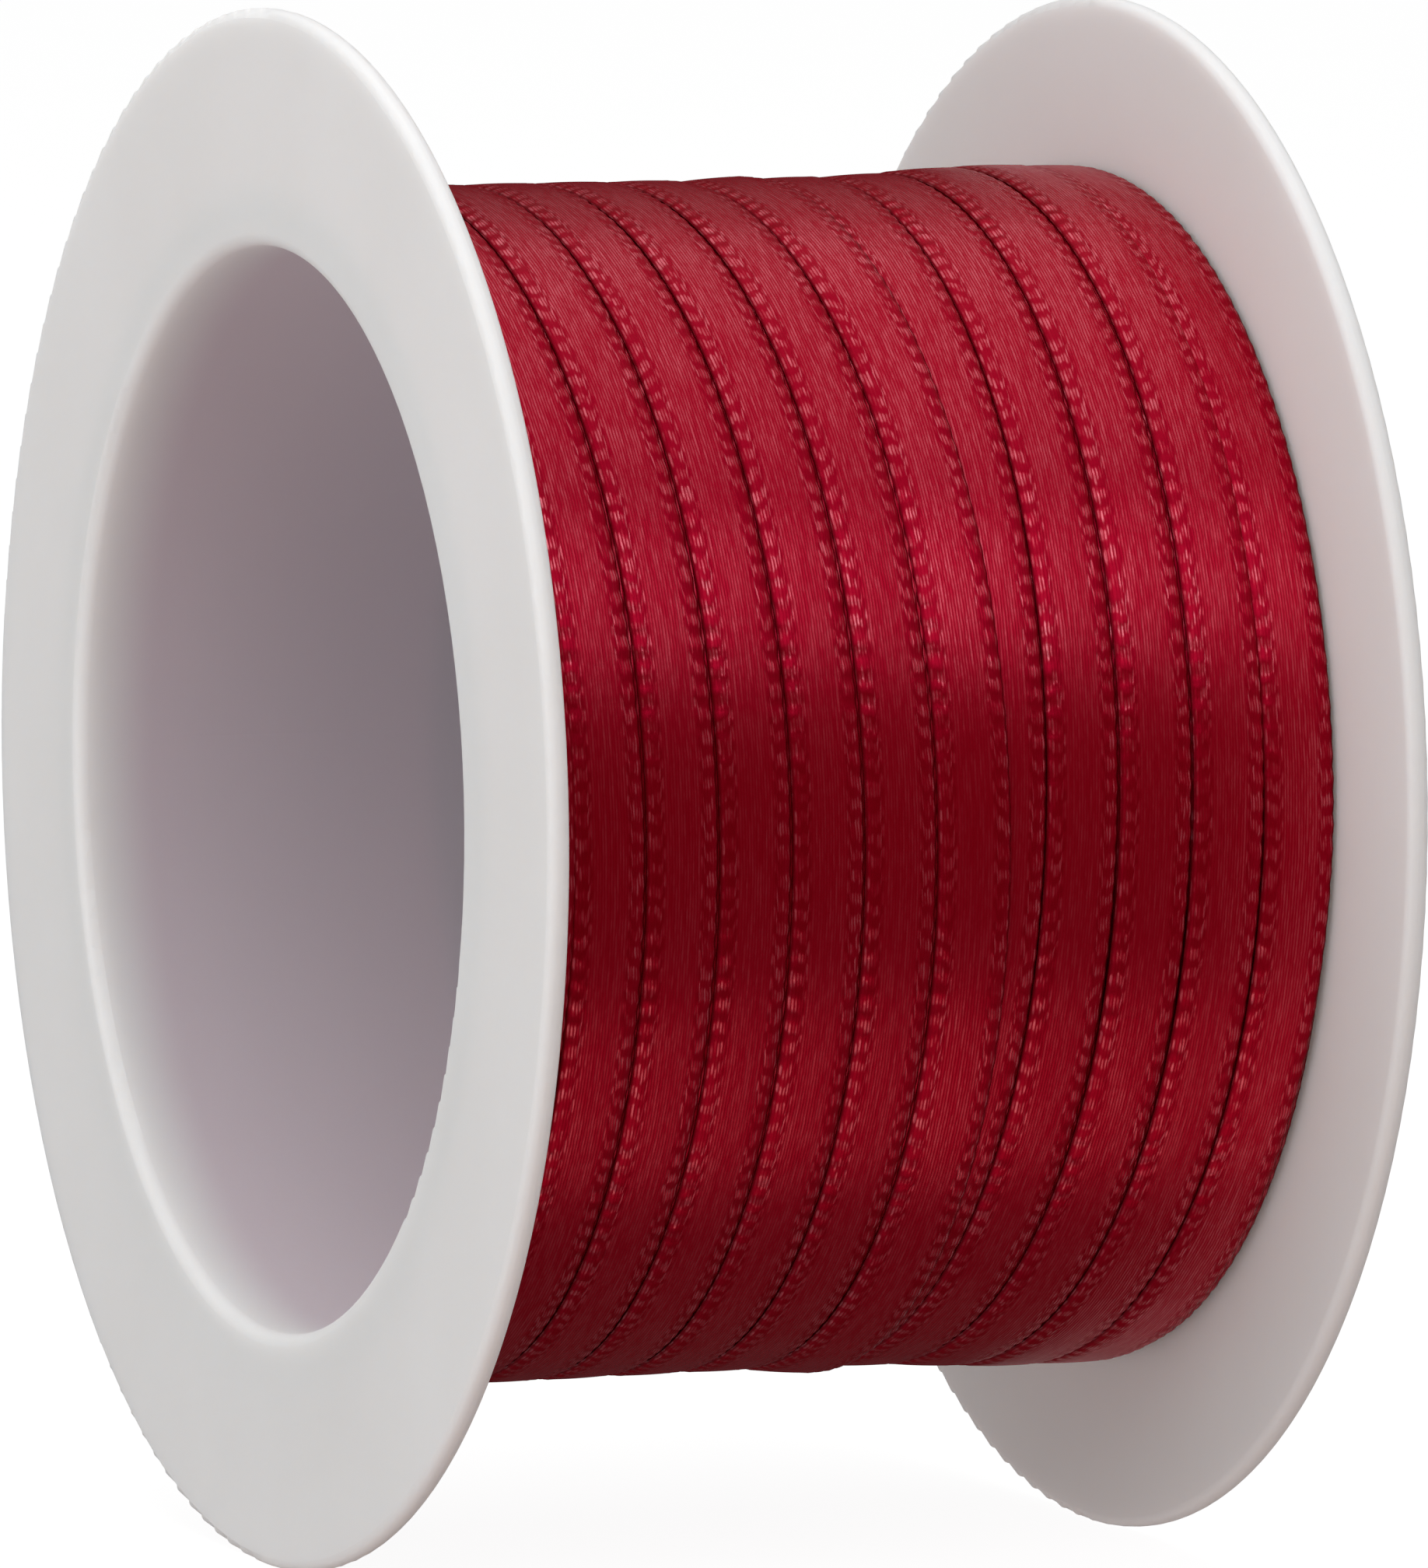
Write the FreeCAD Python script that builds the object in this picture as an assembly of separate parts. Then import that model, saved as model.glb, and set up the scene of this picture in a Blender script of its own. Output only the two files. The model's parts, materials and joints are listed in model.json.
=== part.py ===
import FreeCAD, Part
import math
import os

# A small reel of narrow satin ribbon, in millimetres.
#
# The reel's axis is the X axis, +Z is up and the origin is the reel's centre. A place round the reel
# is an angle turned about +X: 0 is the back (+Y), 90 the top, 180 the front (-Y) and 270 the bottom.
# The ribbon was wound on in the direction of growing angle, so its free end is its far end that way.

# ---- driving dimensions ----

flange_radius = 30.0
flange_thickness = 0.85
inner_width = 33.8
bore_radius = 20.9
hub_wall = 0.9
rim_rounding = 0.38
mouth_rounding = 0.5

pack_radius = 23.2
turns_across = 11
ribbon_width = 3.0
ribbon_thickness = 0.25
crown_height = 0.08

joint_overlap = 5.0
bead_offset = 1.2
bead_radius = 0.2
bead_height = 0.15

running_gap = 0.05
tape_thickness = 0.1

# The free end of the ribbon: a stretch that lies on the pack, then a tip that can be lifted.
tail_centre_x = 3.2
tail_start_angle = 290.0
lift_angle = 380.0
tip_end_angle = 405.0
fold_gap_angle = 0.1

end_tape_width = 6.0
end_tape_start_angle = 398.0
end_tape_end_angle = 415.0

start_tape_width = 6.0
start_tape_angle = 16.0
start_tape_flange_gap = 0.4

# ---- derived dimensions ----

half_inner = inner_width / 2
half_length = half_inner + flange_thickness
hub_radius = bore_radius + hub_wall
spigot_radius = bore_radius + (hub_wall - running_gap) / 2
socket_radius = spigot_radius + running_gap
half_overlap = joint_overlap / 2
tail_radius = pack_radius + running_gap
tape_bed_radius = hub_radius + running_gap / 2
start_tape_x = start_tape_flange_gap + start_tape_width / 2 - half_inner

x_axis = FreeCAD.Vector(1, 0, 0)
origin = FreeCAD.Vector(0, 0, 0)


# ---- helpers ----

def at(x, radius):
    """A point of the half plane that is revolved about the axis."""
    return FreeCAD.Vector(x, radius, 0)


def revolved(edges, start_angle=0.0, sweep=360.0):
    """The solid that a closed outline sweeps about the X axis."""
    face = Part.Face(Part.Wire(edges))
    face.rotate(origin, x_axis, start_angle)
    return face.revolve(origin, x_axis, sweep)


def straight_outline(points):
    """Straight edges through the points and back to the first one."""
    return Part.makePolygon(points + points[:1]).Edges


def round_ring(shape, x, radius, rounding):
    """Round the circular edge that lies at this x and radius."""
    edges = [edge for edge in shape.Edges
             if abs(edge.BoundBox.XMin - x) < 1e-4
             and abs(edge.BoundBox.XMax - x) < 1e-4
             and abs(edge.BoundBox.ZMax - radius) < 1e-4]
    return shape.makeFillet(rounding, edges)


def ring_wire_torus(x, centre_radius, wire_radius):
    """A ring of round section about the X axis."""
    return Part.makeTorus(centre_radius, wire_radius, at(x, 0), x_axis)


def strip(x_centre, width, inner_radius, thickness, start_angle, end_angle):
    """A flat strip bent round the axis between two angles."""
    left = x_centre - width / 2
    right = x_centre + width / 2
    outer_radius = inner_radius + thickness
    section = straight_outline([at(left, inner_radius), at(right, inner_radius),
                                at(right, outer_radius), at(left, outer_radius)])
    return revolved(section, start_angle, end_angle - start_angle)


# ---- the moulded reel ----

def finish_flange(shape, side):
    """Round the rim and the mouth of the bore. side is -1 on the left and 1 on the right."""
    shape = round_ring(shape, side * half_length, flange_radius, rim_rounding)
    shape = round_ring(shape, side * half_inner, flange_radius, rim_rounding)
    return round_ring(shape, side * half_length, bore_radius, mouth_rounding)


def left_spool_half():
    """Left flange with its half of the hub, which ends in a thin spigot."""
    nose = half_overlap - running_gap
    chamfer = (spigot_radius - bore_radius) / 2
    shape = revolved(straight_outline([
        at(-half_length, bore_radius),
        at(-half_length, flange_radius),
        at(-half_inner, flange_radius),
        at(-half_inner, hub_radius),
        at(-half_overlap, hub_radius),
        at(-half_overlap, spigot_radius),
        at(nose - chamfer, spigot_radius),
        at(nose, spigot_radius - chamfer),
        at(nose, bore_radius)]))
    bead = ring_wire_torus(bead_offset, spigot_radius + bead_height - bead_radius, bead_radius)
    return finish_flange(shape.fuse(bead).removeSplitter(), -1)


def right_spool_half():
    """Right flange with its half of the hub, which ends in a socket over the spigot."""
    shape = revolved(straight_outline([
        at(half_length, bore_radius),
        at(half_length, flange_radius),
        at(half_inner, flange_radius),
        at(half_inner, hub_radius),
        at(running_gap - half_overlap, hub_radius),
        at(running_gap - half_overlap, socket_radius),
        at(half_overlap, socket_radius),
        at(half_overlap, bore_radius)]))
    groove = ring_wire_torus(bead_offset, spigot_radius + bead_height - bead_radius,
                             bead_radius + running_gap)
    return finish_flange(shape.cut(groove), 1)


# ---- the ribbon and its tapes ----

def ribbon_winding():
    """All the wound turns. Those of the outermost layer show as crowned bands side by side."""
    pack_half_width = half_inner - running_gap
    pitch = 2 * pack_half_width / turns_across
    inner_radius = hub_radius + running_gap
    valley_radius = pack_radius - crown_height
    outline = []
    for turn in range(turns_across):
        left = -pack_half_width + turn * pitch
        outline.append(Part.Arc(at(left, valley_radius),
                                at(left + pitch / 2, pack_radius),
                                at(left + pitch, valley_radius)).toShape())
    sides = [at(pack_half_width, valley_radius), at(pack_half_width, inner_radius),
             at(-pack_half_width, inner_radius), at(-pack_half_width, valley_radius)]
    outline += Part.makePolygon(sides).Edges
    return revolved(outline).cut(start_tape(running_gap))


def ribbon_tail():
    """The last stretch of ribbon that lies on the pack."""
    return strip(tail_centre_x, ribbon_width, tail_radius, ribbon_thickness,
                 tail_start_angle, lift_angle - fold_gap_angle)


def ribbon_tip():
    """The end of the ribbon, which lifts off the pack about a line where it leaves the tail."""
    return strip(tail_centre_x, ribbon_width, tail_radius, ribbon_thickness,
                 lift_angle + fold_gap_angle, tip_end_angle)


def start_tape(margin=0.0):
    """Double-sided tab between the hub and the first turn, grown by a margin to cut its bed."""
    margin_angle = math.degrees(margin / tape_bed_radius)
    return strip(start_tape_x, start_tape_width + 2 * margin, tape_bed_radius - margin,
                 tape_thickness + 2 * margin, -margin_angle, start_tape_angle + margin_angle)


def end_tape():
    """Clear tab over the ribbon's tip that sticks it down to the pack."""
    return strip(tail_centre_x, end_tape_width, tail_radius + ribbon_thickness + running_gap,
                 tape_thickness, end_tape_start_angle, end_tape_end_angle)


# ---- output ----

def main():
    os.makedirs("parts", exist_ok=True)
    for make in (left_spool_half, right_spool_half, ribbon_winding, ribbon_tail,
                 ribbon_tip, start_tape, end_tape):
        make().exportStep("parts/" + make.__name__ + ".step")


main()
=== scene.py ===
import json
import math
from collections import namedtuple

import bpy
import numpy as np
from mathutils import Matrix, Vector


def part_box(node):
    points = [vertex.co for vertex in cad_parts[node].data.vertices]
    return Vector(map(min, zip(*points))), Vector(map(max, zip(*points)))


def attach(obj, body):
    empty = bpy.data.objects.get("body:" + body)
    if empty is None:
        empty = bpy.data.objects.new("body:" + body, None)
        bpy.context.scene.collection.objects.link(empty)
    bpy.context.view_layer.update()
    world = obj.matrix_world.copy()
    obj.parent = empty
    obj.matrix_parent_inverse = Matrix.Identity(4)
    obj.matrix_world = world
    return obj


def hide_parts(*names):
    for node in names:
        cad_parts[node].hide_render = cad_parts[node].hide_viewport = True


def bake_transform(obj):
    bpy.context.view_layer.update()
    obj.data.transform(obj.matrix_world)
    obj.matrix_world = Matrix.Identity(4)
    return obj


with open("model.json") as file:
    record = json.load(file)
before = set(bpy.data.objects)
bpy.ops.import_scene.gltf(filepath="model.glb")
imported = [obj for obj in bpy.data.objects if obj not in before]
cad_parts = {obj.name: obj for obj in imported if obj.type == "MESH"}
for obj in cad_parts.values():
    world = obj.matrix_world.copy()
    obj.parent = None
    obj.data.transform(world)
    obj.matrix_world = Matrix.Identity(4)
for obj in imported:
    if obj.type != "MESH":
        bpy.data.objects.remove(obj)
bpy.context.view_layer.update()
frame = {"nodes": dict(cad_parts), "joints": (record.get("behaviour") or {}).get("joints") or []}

# Lengths are in millimetres up to the point where a mesh is made. A place round the reel is an angle
# about +X in degrees: 0 is the back, 90 the top, 180 the front, 270 the bottom. The ribbon was wound on
# in the direction of growing angle.
MM = 0.001


# ---- sizes taken from the frame ----

def span(node):
    """Lowest and highest corner of a CAD node in millimetres."""
    low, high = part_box(node)
    return np.array(low) / MM, np.array(high) / MM


def inner_radius(node):
    """Distance from the axis to the nearest point of a CAD node, in millimetres."""
    return min(math.hypot(v.co.y, v.co.z) for v in frame["nodes"][node].data.vertices) / MM


def joint_place(name):
    """Where a joint's axis is, in millimetres."""
    joint = next(item for item in frame["joints"] if item["name"] == name)
    return np.array(joint["pos_m"]) / MM


_, spool_high = span("left_spool_half")
_, winding_high = span("ribbon_winding")
tail_low, tail_high = span("ribbon_tail")
_, tip_high = span("ribbon_tip")
tape_low, tape_high = span("end_tape")
lift_place = joint_place("lift")

flange_radius = spool_high[2]
pack_radius = winding_high[2]
pack_half_width = winding_high[0]
hub_radius = inner_radius("ribbon_winding")
ribbon_width = tail_high[0] - tail_low[0]
end_outer_radius = math.hypot(lift_place[1], lift_place[2])
tail_start_angle = 360 - math.degrees(math.asin(-tail_low[2] / end_outer_radius))
tip_end_angle = 360 + math.degrees(math.asin(tip_high[2] / end_outer_radius))
tape_outer_radius = math.hypot(tape_low[1], tape_high[2])
tape_start_angle = 360 + math.degrees(math.acos(tape_high[1] / tape_outer_radius))
tape_end_angle = 360 + math.degrees(math.asin(tape_high[2] / tape_outer_radius))

# ---- how the ribbon lies ----

ribbon_thickness = 0.22
layer_step = 0.25
edge_gap = 0.11
crown = 0.05
edge_drop = 0.15
end_rise_angle = 12.0
end_clearance = 0.06
edge_bulge = 0.015
edge_wobble = 0.01
base_inset = 0.02
core_gap = 0.03
segment_angle = 0.55

# The tape's film comes down beside the ribbon over a short width, and past the tip over a short angle.
film_thickness = 0.05
film_slope_width = 0.6
film_slope_angle = 2.0

# How far the ribbon strays sideways, in height and in tilt.
across_wander = 0.035
height_wander = 0.02
tilt_wander = 0.02

pick_pitch = 0.45
yarn_pitch = 0.115
selvedge_start = 0.72
selvedge_blend = 0.4

# The visible ribbon runs to the right flange in one course, turns and comes back to the left flange in
# the next, then turns again and stops part way across in the outermost one. For each course: where its
# turns pass the front, and how far it moves across in each turn.
front_angle = 180.0
lower_front_x = 15.3
return_front_x = 3.57
top_front_x = 2.12
lower_pitch = 2.95
return_pitch = 2.95
top_pitch = 2.95
lower_turns = 5.2

side_limit = pack_half_width - ribbon_width / 2


def last_before(angle, place):
    """The last angle up to this one that is at the given place round the reel."""
    return angle - (angle - place) % 360


top_leaves_left = front_angle - 360 * (side_limit + top_front_x) / top_pitch
return_meets_left = last_before(
    top_leaves_left, front_angle + 360 * (side_limit + return_front_x) / return_pitch)
return_leaves_right = return_meets_left - 360 * 2 * side_limit / return_pitch
lower_meets_right = last_before(
    return_leaves_right, front_angle + 360 * (side_limit - lower_front_x) / lower_pitch)
lower_start = lower_meets_right - 360 * lower_turns


def smooth(value):
    """0 below 0, 1 above 1, and a smooth step between."""
    clipped = np.clip(value, 0.0, 1.0)
    return clipped * clipped * (3 - 2 * clipped)


def wander(angles, seed, size, turns=(0.9, 1.7, 3.1, 5.3)):
    """A smooth random wobble along the ribbon, made of a few waves per turn."""
    random = np.random.default_rng(seed)
    total = np.zeros_like(angles)
    for waves in turns:
        phase = random.uniform(0, 2 * math.pi)
        total += random.uniform(0.5, 1.0) * np.sin(np.radians(angles) * waves + phase)
    return size * total / len(turns)


# The return course lies this deep below the pack's crown at the left, and it builds up in two gentle
# rises towards the right: one near the middle and one nearer to the flange.
left_depth = 0.33
middle_rise = 0.28
middle_rise_x = 0.5
middle_rise_width = 4.0
right_rise = 0.32
right_rise_x = 5.0
right_rise_width = 8.0


def layer_radius(x, layer):
    """Crown radius of a layer. The return course is layer 0."""
    middle = middle_rise * smooth((x - middle_rise_x) / middle_rise_width)
    right = right_rise * smooth((x - right_rise_x) / right_rise_width)
    return pack_radius - left_depth + middle + right + layer * layer_step


def ribbon_path(angles):
    """Centre across, crown radius and tilt of the ribbon at each angle."""
    turns = [lower_start, lower_meets_right, return_leaves_right, return_meets_left,
             top_leaves_left, tip_end_angle]
    start_x = side_limit - lower_pitch * lower_turns
    tip_x = top_front_x + top_pitch * (tip_end_angle - front_angle) / 360
    places = [start_x, side_limit, side_limit, -side_limit, -side_limit, tip_x]
    x = np.interp(angles, turns, places) + wander(angles, 11, across_wander)
    x = np.clip(x, -side_limit, side_limit)
    climb_right = smooth((angles - lower_meets_right) / (return_leaves_right - lower_meets_right))
    climb_left = smooth((angles - return_meets_left) / (top_leaves_left - return_meets_left))
    layer = climb_right + climb_left - 1
    radius = layer_radius(x, layer) + wander(angles, 12, height_wander)
    tilt = layer_radius(x + 0.5, 0) - layer_radius(x - 0.5, 0) + wander(angles, 14, tilt_wander)
    return x, radius, tilt


# ---- meshes ----

def new_object(name, mesh, body):
    """Put a mesh in the scene and let it ride on a body."""
    piece = bpy.data.objects.new(name, mesh)
    bpy.context.scene.collection.objects.link(piece)
    if body:
        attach(piece, body)
    return piece


def grid_faces(rows, columns, closed):
    """Quads between neighbouring rows of points. Closed rows join their last point to their first."""
    steps = columns if closed else columns - 1
    row, column = np.meshgrid(np.arange(rows - 1), np.arange(steps), indexing="ij")
    after = (column + 1) % columns
    corners = [row * columns + column, row * columns + after,
               (row + 1) * columns + after, (row + 1) * columns + column]
    return np.stack(corners, axis=-1).reshape(-1, 4)


def mesh_from(name, points, faces, corner_uv=None):
    """A smooth shaded mesh from points in millimetres. corner_uv holds one pair for each face corner."""
    mesh = bpy.data.meshes.new(name)
    mesh.from_pydata((points * MM).tolist(), [], [list(face) for face in faces])
    if corner_uv is not None:
        layer = mesh.uv_layers.new(name="ribbon")
        layer.data.foreach_set("uv", corner_uv.astype(np.float32).ravel())
    mesh.polygons.foreach_set("use_smooth", [True] * len(mesh.polygons))
    mesh.update()
    return mesh


def ribbon_section():
    """Across place and height of the points round the ribbon's section, crowned with rounded edges."""
    half = (ribbon_width - edge_gap) / 2
    share = np.sin(np.linspace(-math.pi / 2, math.pi / 2, 17))
    top = np.stack([half * share, -crown * share**2 - edge_drop * share**10], axis=1)
    base = -ribbon_thickness
    base_half = half - base_inset
    under = np.array([[base_half, base], [0.0, base], [-base_half, base]])
    return np.concatenate([top, under])


def strip_part(angles, base_lift=-ribbon_thickness, fullness=1.0):
    """Points and texture places of a stretch of the ribbon.

    base_lift is how far its underside lies above the crown line of the layer that it belongs to, and
    fullness is its share of the full thickness at each angle.
    """
    section = ribbon_section()
    across, height = section[:, 0], section[:, 1]
    centre_x, radius, tilt = ribbon_path(angles)
    along = np.radians(angles) * pack_radius
    # The woven edges bulge a little over every second pick, and never quite evenly.
    edge = smooth((np.abs(across) - selvedge_start) / selvedge_blend)
    ripple = np.cos(2 * math.pi * along / (2 * pick_pitch)) + wander(angles, 15, 1.0, (97, 151, 173))
    full = np.broadcast_to(fullness, angles.shape)[:, None]
    r = (radius + base_lift)[:, None] + full * (height + ribbon_thickness) + tilt[:, None] * across
    r = r + edge_bulge * full * edge * ripple[:, None]
    x = centre_x[:, None] + across + edge_wobble * edge * np.sign(across) * ripple[:, None]
    turn = np.radians(angles)[:, None]
    points = np.stack([x, r * np.cos(turn), r * np.sin(turn)], axis=-1)
    places = np.stack(np.broadcast_arrays(across[None, :], along[:, None]), axis=-1)
    return points, places


def strip_mesh(name, points, places):
    """A mesh from one stretch of ribbon, closed at both ends."""
    rows, columns = points.shape[:2]
    faces = grid_faces(rows, columns, closed=True).tolist()
    faces.append(list(range(columns - 1, -1, -1)))
    faces.append(list(range((rows - 1) * columns, rows * columns)))
    flat_places = places.reshape(-1, 2)
    corner_uv = np.concatenate([flat_places[face] for face in faces])
    return mesh_from(name, points.reshape(-1, 3), faces, corner_uv)


def wound_part():
    """The visible turns. At rest their end is hidden under the start of the free end."""
    return strip_part(np.arange(lower_start, tail_start_angle, segment_angle))


def free_end_part():
    """The free end. It rises from the last turn and lies on the pack, clear of all the turns."""
    angles = np.arange(tail_start_angle - end_rise_angle, tip_end_angle, segment_angle)
    fullness = smooth((angles - angles[0]) / end_rise_angle)
    return strip_part(angles, end_clearance, fullness)


def pack_core_mesh():
    """The buried turns, as one ring that the visible turns lie on."""
    rows, columns = 180, 30
    x = np.linspace(-pack_half_width, pack_half_width, columns)
    section_x = np.concatenate([x, x[::-1]])
    section_r = np.concatenate([layer_radius(x, -2) - core_gap, np.full(columns, hub_radius)])
    turn = np.linspace(0, 2 * math.pi, rows + 1)
    points = np.stack([np.broadcast_to(section_x, (rows + 1, 2 * columns)),
                       np.cos(turn)[:, None] * section_r, np.sin(turn)[:, None] * section_r], axis=-1)
    places = np.stack(np.broadcast_arrays(section_x[None, :], pack_radius * turn[:, None]), axis=-1)
    corners = grid_faces(rows + 1, 2 * columns, closed=True)
    joined = corners % (rows * 2 * columns)
    return mesh_from("ribbon_core", points[:-1].reshape(-1, 3), joined.tolist(),
                     places.reshape(-1, 2)[corners.ravel()])


def end_tape_mesh():
    """A clear film over the tip: raised over the ribbon, and just above the highest turns beside it."""
    rows, columns = 41, 49
    angles = np.linspace(tape_start_angle, tape_end_angle, rows)
    centre = float(ribbon_path(np.array([tip_end_angle]))[0][0])
    half = (tape_high[0] - tape_low[0]) / 2
    across = np.linspace(-half, half, columns)
    on_ribbon = 1 - smooth((np.abs(across) - ribbon_width / 2) / film_slope_width)
    before_tip = 1 - smooth((angles - tip_end_angle) / film_slope_angle)
    beside = layer_radius(centre, 1) + 0.5 * end_clearance
    ribbon_height = end_clearance + ribbon_thickness
    radius = beside + ribbon_height * on_ribbon * before_tip[:, None]
    turn = np.radians(angles)[:, None]
    x = np.broadcast_to(centre + across, radius.shape)
    points = np.stack([x, radius * np.cos(turn), radius * np.sin(turn)], axis=-1)
    faces = grid_faces(rows, columns, closed=False)
    return mesh_from("end_tape_film", points.reshape(-1, 3), faces)


# ---- materials ----

class Signal:
    """A number inside a node tree. Arithmetic on it adds math nodes."""

    def __init__(self, nodes, socket):
        self.nodes = nodes
        self.socket = socket

    def apply(self, operation, *others):
        return self.nodes.math(operation, self, *others)

    def __add__(self, other):
        return self.apply("ADD", other)

    def __sub__(self, other):
        return self.apply("SUBTRACT", other)

    def __mul__(self, other):
        return self.apply("MULTIPLY", other)

    def __truediv__(self, other):
        return self.apply("DIVIDE", other)

    def floor(self):
        return self.apply("FLOOR")

    def fraction(self):
        return self.apply("FRACT")

    def size(self):
        return self.apply("ABSOLUTE")

    def cosine(self):
        return self.apply("COSINE")

    def power(self, exponent):
        return self.apply("POWER", exponent)

    def one_minus(self):
        return self.nodes.math("SUBTRACT", 1.0, self)

    def step(self, low, high):
        """0 at low, 1 at high, smooth between."""
        return self.nodes.smooth_step(self, low, high)


class Nodes:
    """The node tree of a material or a world, with a short call for each kind of node used here."""

    def __init__(self, owner):
        owner.use_nodes = True
        self.owner = owner
        self.tree = owner.node_tree
        self.tree.nodes.clear()

    def plug(self, socket, value):
        if isinstance(value, Signal):
            value = value.socket
        if isinstance(value, bpy.types.NodeSocket):
            self.tree.links.new(value, socket)
        else:
            socket.default_value = value

    def add(self, kind, inputs=None, **settings):
        made = self.tree.nodes.new(kind)
        for key, value in settings.items():
            setattr(made, key, value)
        for key, value in (inputs or {}).items():
            self.plug(made.inputs[key], value)
        return made

    def math(self, operation, *values):
        made = self.add("ShaderNodeMath", operation=operation)
        for socket, value in zip(made.inputs, values):
            self.plug(socket, value)
        return Signal(self, made.outputs[0])

    def smooth_step(self, value, low, high):
        ends = {"Value": value, "From Min": low, "From Max": high, "To Min": 0.0, "To Max": 1.0}
        made = self.add("ShaderNodeMapRange", ends, interpolation_type="SMOOTHSTEP")
        return Signal(self, made.outputs["Result"])

    def ribbon_places(self):
        """Place across and along the ribbon, in millimetres."""
        uv = self.add("ShaderNodeUVMap", uv_map="ribbon")
        parts = self.add("ShaderNodeSeparateXYZ", {"Vector": uv.outputs["UV"]})
        return Signal(self, parts.outputs["X"]), Signal(self, parts.outputs["Y"])

    def reel_places(self):
        """Place along the reel's axis and distance from the axis, in millimetres."""
        parts = self.add("ShaderNodeSeparateXYZ", {"Vector": self.object_place()})
        flat = self.add("ShaderNodeCombineXYZ", {"Y": parts.outputs["Y"], "Z": parts.outputs["Z"]})
        length = self.add("ShaderNodeVectorMath", {0: flat.outputs["Vector"]}, operation="LENGTH")
        return Signal(self, parts.outputs["X"]) / MM, Signal(self, length.outputs["Value"]) / MM

    def vector(self, x, y, z=0.0):
        made = self.add("ShaderNodeCombineXYZ", {"X": x, "Y": y, "Z": z})
        return made.outputs["Vector"]

    def noise(self, vector, scale=1.0, detail=2.0, roughness=0.5):
        made = self.add("ShaderNodeTexNoise", {
            "Vector": vector, "Scale": scale, "Detail": detail, "Roughness": roughness})
        return Signal(self, made.outputs["Fac"])

    def object_place(self):
        return self.add("ShaderNodeTexCoord").outputs["Object"]

    def mix_color(self, share, first, second):
        made = self.add("ShaderNodeMix", {"Factor": share}, data_type="RGBA")
        colors = [socket for socket in made.inputs if socket.type == "RGBA"]
        self.plug(colors[0], first)
        self.plug(colors[1], second)
        return next(socket for socket in made.outputs if socket.type == "RGBA")

    def bump(self, height, distance=1.0, strength=1.0):
        made = self.add("ShaderNodeBump", {"Height": height, "Distance": distance, "Strength": strength})
        return made.outputs["Normal"]

    def finish(self, shader, kind="ShaderNodeOutputMaterial"):
        self.add(kind, {"Surface": shader})
        return self.owner


def color(red, green, blue):
    return (red, green, blue, 1.0)


Weave = namedtuple("Weave", "drift fuzz yarn_dome streak edge_share raised")


def satin_weave(nodes, across, along):
    """What the satin's relief and colours are made of: two noises, the yarns and the woven edges."""
    drift = nodes.noise(nodes.vector(across * 0.8, along * 0.35), detail=3.0)
    fuzz = nodes.noise(nodes.vector(across * 6.0, along * 1.8), detail=3.0)
    bent = across + (drift - 0.5) * 0.10 + (fuzz - 0.5) * 0.04

    yarn = (bent / yarn_pitch).floor()
    yarn_side = ((bent / yarn_pitch).fraction() * 2.0 - 1.0).size()
    yarn_dome = yarn_side.power(2.0).one_minus()
    uneven = nodes.noise(nodes.vector(yarn * 7.31, along * 0.6), detail=3.0, roughness=0.6)
    streak = uneven.step(0.32, 0.74)
    slip = nodes.noise(nodes.vector(yarn * 5.13, along * 0.25)) - 0.5

    # In the woven edges the yarns dip under the picks together, every two picks. The innermost of them
    # dips where the others lie on top.
    side = bent.size()
    edge_share = side.step(selvedge_start - 0.08, selvedge_start + 0.08)
    inner_yarn = side.step(selvedge_start + 0.10, selvedge_start + 0.16).one_minus()
    right_edge = across.step(-0.1, 0.1)
    stroke_place = along / (2 * pick_pitch) + inner_yarn * 0.5 + right_edge * 0.4 + slip + drift * 1.5
    stroke = ((stroke_place + (fuzz - 0.5) * 0.4) * (2 * math.pi)).cosine().step(-0.8, 0.8)
    raised = stroke * (streak * 0.6 + 0.4)
    return Weave(drift, fuzz, yarn_dome, streak, edge_share, raised)


def satin_normal(nodes, weave):
    """The fine relief of the yarns. Heights are in millimetres."""
    height = weave.yarn_dome * (weave.edge_share * (weave.raised - 0.3) * 0.6 + 0.4) * 0.018
    height = height + weave.streak * 0.004 + (weave.fuzz - 0.5) * 0.008 + (weave.drift - 0.5) * 0.02
    return nodes.bump(height * MM)


def satin_colors(nodes, across, weave):
    """Base colour, colour of the sheen, and how strong the shine is.

    The yarns that lie high shine pale. The rest is deep red. Painted shade darkens the base colour and
    the sheen in the valleys between yarns and where the edge yarns dip, and darker still towards the rim,
    where the grooves between turns lie; there the shine is weaker too.
    """
    # A near-black red: the dark end of the painted shade in the grooves and yarn valleys.
    groove_shade_red = color(0.02, 0.0, 0.0)
    deep_red = color(0.28, 0.001, 0.005)
    sheen_red = color(0.48, 0.002, 0.034)
    sheen_pale = color(0.80, 0.07, 0.12)
    edge_share, raised = weave.edge_share, weave.raised
    woven = edge_share * (raised * 1.1 - 0.68) + 1.0
    lit = weave.yarn_dome * (weave.streak * 0.65 + 0.35) * woven
    # Painted shade for the grooves between turns: towards the rim the base colour and the sheen darken
    # towards near-black red, and the shine weakens.
    rim = across.size().step(ribbon_width / 2 - 0.22, ribbon_width / 2 - 0.06)
    unshaded_share = (rim * 0.5).one_minus()
    # Painted shade in the base colour: darker in the valleys between yarns and where the edge yarns dip
    # under the picks. The streaks add tone that varies at random from yarn to yarn.
    body = (lit * 0.12 + 0.88) * (edge_share * (raised * 0.2 - 0.12) + 1.0) * unshaded_share
    base = nodes.mix_color(body, groove_shade_red, deep_red)
    patchy = weave.fuzz.step(0.35, 0.65) * 0.4 + 0.6
    shine = lit.step(0.15, 1.0) * patchy * (edge_share * 0.4 + 0.6) * unshaded_share
    sheen = nodes.mix_color(body, groove_shade_red, sheen_red)
    sheen = nodes.mix_color(shine * 0.9, sheen, sheen_pale)
    return base, sheen, shine


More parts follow.
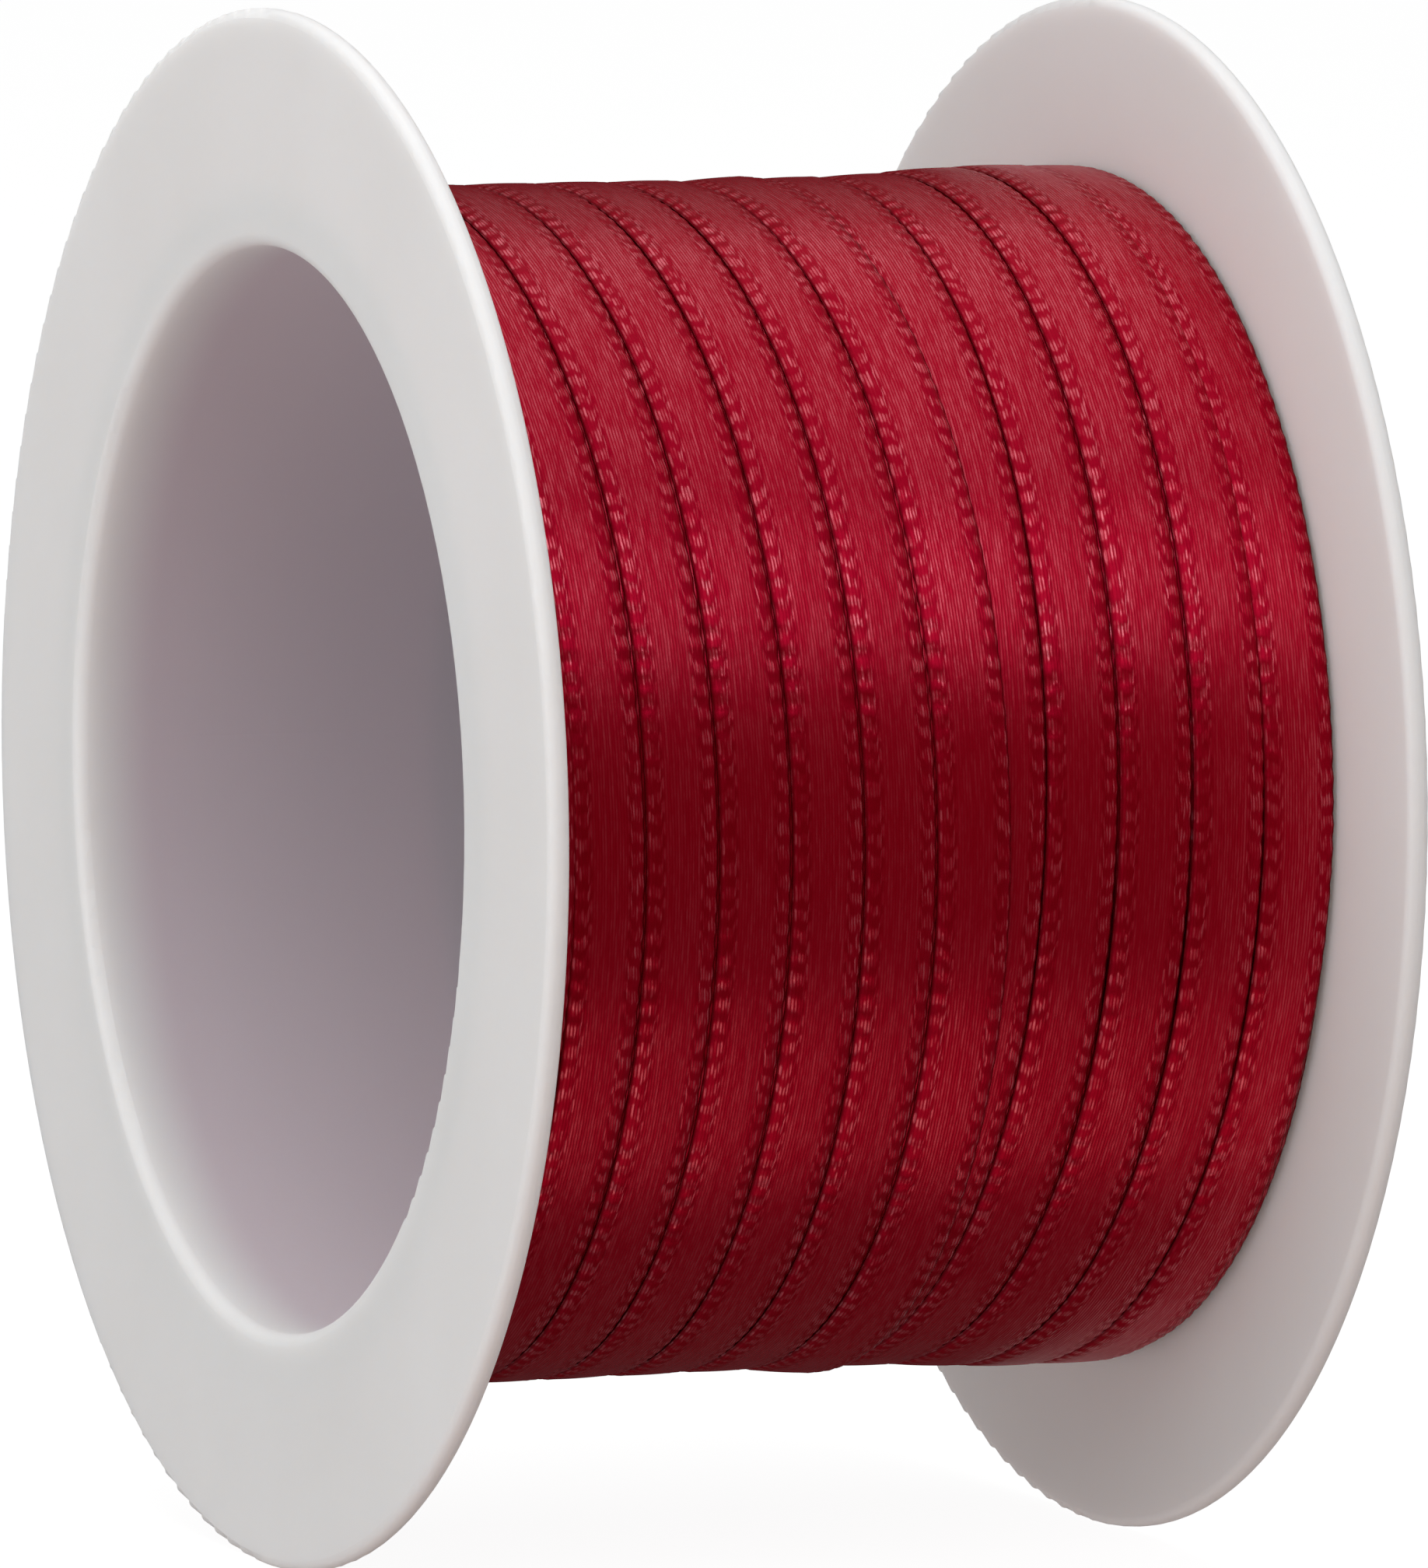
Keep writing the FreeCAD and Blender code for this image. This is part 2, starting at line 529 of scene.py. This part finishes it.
def satin_material():
    """Red double-face satin: long floats in the middle and short strokes in the woven edges."""
    nodes = Nodes(bpy.data.materials.new("red_satin"))
    across, along = nodes.ribbon_places()
    weave = satin_weave(nodes, across, along)
    normal = satin_normal(nodes, weave)
    base, sheen, shine = satin_colors(nodes, across, weave)
    tangent = nodes.add("ShaderNodeTangent", direction_type="UV_MAP", uv_map="ribbon").outputs["Tangent"]
    principled = nodes.add("ShaderNodeBsdfPrincipled", {
        "Base Color": base, "Roughness": 0.24, "Specular IOR Level": shine * 1.7 + 0.02,
        "Specular Tint": color(1.0, 0.72, 0.80), "Anisotropic": 0.2, "Tangent": tangent, "Normal": normal,
    })
    gloss = nodes.add("ShaderNodeBsdfAnisotropic", {
        "Color": sheen, "Roughness": 0.40, "Anisotropy": -0.4, "Normal": normal, "Tangent": tangent,
    })
    mixed = nodes.add("ShaderNodeMixShader", {"Fac": 0.40})
    nodes.plug(mixed.inputs[1], principled.outputs["BSDF"])
    nodes.plug(mixed.inputs[2], gloss.outputs["BSDF"])
    return nodes.finish(mixed.outputs["Shader"])


def plastic_material():
    """White translucent moulded plastic. The bore wall inside the hub carries painted shade, tinted pink
    as a painted glow of the red ribbon through the thin wall of the hub.
    """
    nodes = Nodes(bpy.data.materials.new("white_plastic"))
    place = nodes.object_place()
    clouds = nodes.noise(place, scale=90.0, detail=3.0)
    grain = nodes.noise(place, scale=2600.0, detail=2.0)
    x, radius = nodes.reel_places()
    # Painted shade inside the bore: the wall darkens over about 3 mm in from each mouth and is tinted
    # pink, a painted glow of the ribbon behind it.
    in_hub = radius.step(hub_radius - 0.1, hub_radius + 0.3).one_minus()
    between_flanges = x.size().step(pack_half_width - 2.5, pack_half_width + 0.6).one_minus()
    moulded = nodes.mix_color(clouds, color(0.80, 0.785, 0.77), color(0.86, 0.85, 0.84))
    base = nodes.mix_color(in_hub * between_flanges, moulded, color(0.64, 0.56, 0.60))
    height = (clouds - 0.5) * 0.03 + (grain - 0.5) * 0.004
    principled = nodes.add("ShaderNodeBsdfPrincipled", {
        "Base Color": base, "Roughness": (clouds * 0.12) + 0.40, "Specular IOR Level": 0.35,
        "Subsurface Weight": 1.0, "Subsurface Scale": 1.8 * MM,
        "Normal": nodes.bump(height * MM),
    })
    principled.inputs["Subsurface Radius"].default_value = (1.0, 0.92, 0.85)
    return nodes.finish(principled.outputs["BSDF"])


def film_material():
    """Clear adhesive film, slightly milky."""
    nodes = Nodes(bpy.data.materials.new("clear_film"))
    place = nodes.object_place()
    wrinkles = nodes.noise(place, scale=700.0, detail=2.0)
    principled = nodes.add("ShaderNodeBsdfPrincipled", {
        "Base Color": color(0.85, 0.84, 0.82), "Roughness": wrinkles * 0.15 + 0.08,
        "Alpha": wrinkles * 0.1 + 0.14, "Normal": nodes.bump((wrinkles - 0.5) * (0.02 * MM)),
    })
    return nodes.finish(principled.outputs["BSDF"])


def paper_tape_material():
    """Matt double-sided tab under the first turn."""
    nodes = Nodes(bpy.data.materials.new("matt_tape"))
    fibres = nodes.noise(nodes.object_place(), scale=4000.0, detail=3.0)
    base = nodes.mix_color(fibres, color(0.70, 0.69, 0.64), color(0.80, 0.79, 0.75))
    principled = nodes.add("ShaderNodeBsdfPrincipled", {
        "Base Color": base, "Roughness": 0.8, "Normal": nodes.bump(fibres * (0.01 * MM)),
    })
    return nodes.finish(principled.outputs["BSDF"])


def floor_material():
    """A white table under bright light, which shows only a faint shadow."""
    nodes = Nodes(bpy.data.materials.new("pale_floor"))
    cloth = nodes.noise(nodes.object_place(), scale=30.0, detail=2.0)
    base = nodes.mix_color(cloth, color(0.11, 0.11, 0.11), color(0.12, 0.12, 0.12))
    principled = nodes.add("ShaderNodeBsdfPrincipled", {
        "Base Color": base, "Roughness": 0.9, "Specular IOR Level": 0.0,
        "Emission Color": color(1.0, 1.0, 1.0), "Emission Strength": 0.94,
    })
    return nodes.finish(principled.outputs["BSDF"])


def paint(piece, material):
    piece.data.materials.clear()
    piece.data.materials.append(material)


# ---- the pieces ----

def build_spool():
    plastic = plastic_material()
    for node in ("left_spool_half", "right_spool_half"):
        paint(frame["nodes"][node], plastic)
    paint(frame["nodes"]["start_tape"], paper_tape_material())


def build_ribbon():
    satin = satin_material()
    turns = new_object("ribbon_turns", strip_mesh("ribbon_turns", *wound_part()), "spool")
    core = new_object("ribbon_core", pack_core_mesh(), "spool")
    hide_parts("ribbon_winding")
    end = new_object("ribbon_end", strip_mesh("ribbon_end", *free_end_part()), None)
    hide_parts("ribbon_tail", "ribbon_tip")
    for piece in (turns, core, end):
        paint(piece, satin)
    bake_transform(end)


def build_end_tape():
    film = new_object("end_tape_film", end_tape_mesh(), "tip")
    thick = film.modifiers.new("thickness", "SOLIDIFY")
    thick.thickness = film_thickness * MM
    thick.offset = 1.0
    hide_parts("end_tape")
    paint(film, film_material())


# ---- stage, light and camera ----

# The camera looks at the reel's centre. Angles are in degrees, its distance in metres, its lens in mm.
view_azimuth = -22.2
view_elevation = 5.7
view_roll = 0.37
view_distance = 0.612
view_lens = 362.1
view_shift = (0.0150, -0.0053)

# The floor's half width, in millimetres. It reaches far past the view on every side.
floor_half_width = 6000.0

# Strength of the soft light from each side.
all_round_light = 0.03
above_light = 0.36
below_light = 0.02
left_light = 0.49
right_light = 0.35


def build_floor():
    half = floor_half_width
    corners = np.array([[x, y, -flange_radius] for x, y in
                        ((-half, -half), (half, -half), (half, half), (-half, half))])
    floor = new_object("floor", mesh_from("floor", corners, [[0, 1, 2, 3]]), None)
    paint(floor, floor_material())
    # The light that the table throws back comes from the lamp below it instead.
    floor.visible_diffuse = False
    floor.visible_glossy = False
    floor.visible_transmission = False
    floor.visible_shadow = False


def direction(azimuth, elevation):
    """Unit vector from the object towards a place seen at this azimuth and elevation."""
    a, e = math.radians(azimuth), math.radians(elevation)
    return Vector((math.sin(a) * math.cos(e), -math.cos(a) * math.cos(e), math.sin(e)))


def area_light(name, azimuth, elevation, distance, width, height, power, tint=(1.0, 1.0, 1.0)):
    """A lamp aimed at the object. Lengths are in metres and the power is in watts."""
    light = bpy.data.lights.new(name, "AREA")
    light.shape = "RECTANGLE"
    light.size = width
    light.size_y = height
    light.energy = power
    light.color = tint
    lamp = bpy.data.objects.new(name, light)
    bpy.context.scene.collection.objects.link(lamp)
    towards = direction(azimuth, elevation)
    lamp.location = towards * distance
    lamp.rotation_euler = towards.to_track_quat("Z", "Y").to_euler()
    lamp.visible_camera = False


def build_world():
    """Soft light from above, from both sides and a little from below. The camera sees plain white."""
    nodes = Nodes(bpy.data.worlds.new("studio"))
    way = nodes.add("ShaderNodeTexCoord").outputs["Generated"]
    parts = nodes.add("ShaderNodeSeparateXYZ", {"Vector": way})
    height = Signal(nodes, parts.outputs["Z"])
    towards_left = direction(-90, -25)
    left_dot = nodes.add("ShaderNodeVectorMath", {0: way, 1: towards_left}, operation="DOT_PRODUCT")
    left = Signal(nodes, left_dot.outputs["Value"]).step(0.05, 0.95)
    above = height.step(0.20, 0.55)
    below = height.step(-0.55, -0.10).one_minus()
    right = Signal(nodes, parts.outputs["X"]).step(0.30, 0.95)
    sides = left * left_light + right * right_light
    light = sides + above * above_light + below * below_light + all_round_light
    seen = Signal(nodes, nodes.add("ShaderNodeLightPath").outputs["Is Camera Ray"])
    strength = seen + seen.one_minus() * light
    background = nodes.add("ShaderNodeBackground", {"Color": color(1.0, 1.0, 1.0), "Strength": strength})
    world = nodes.finish(background.outputs["Background"], "ShaderNodeOutputWorld")
    bpy.context.scene.world = world


def build_lights():
    build_world()
    area_light("overhead", azimuth=0, elevation=95, distance=0.6, width=0.6, height=0.80, power=1.8)
    area_light("front", azimuth=-10, elevation=40, distance=0.8, width=0.5, height=0.42, power=2.0)
    area_light("table_glow", azimuth=-10, elevation=-56, distance=0.8, width=0.5, height=0.54,
               power=1.30, tint=(1.0, 0.62, 0.54))
    area_light("left", azimuth=-80, elevation=20, distance=0.35, width=0.30, height=0.30, power=0.40)


def build_camera():
    camera = bpy.data.cameras.new("camera")
    camera.lens = view_lens
    camera.shift_x, camera.shift_y = view_shift
    camera.clip_start = 0.05
    camera.clip_end = 20.0
    seen = bpy.data.objects.new("camera", camera)
    bpy.context.scene.collection.objects.link(seen)
    back = direction(view_azimuth, view_elevation)
    upright = (Vector((0, 0, 1)) - back * back.z).normalized()
    level = upright.cross(back)
    roll = math.radians(view_roll)
    right = level * math.cos(roll) + upright * math.sin(roll)
    up = upright * math.cos(roll) - level * math.sin(roll)
    place = back * view_distance
    turn = Matrix((right, up, back)).transposed()
    seen.matrix_world = Matrix.Translation(place) @ turn.to_4x4()
    bpy.context.scene.camera = seen


bpy.context.scene.view_settings.view_transform = "Standard"
build_spool()
build_ribbon()
build_end_tape()
build_floor()
build_lights()
build_camera()
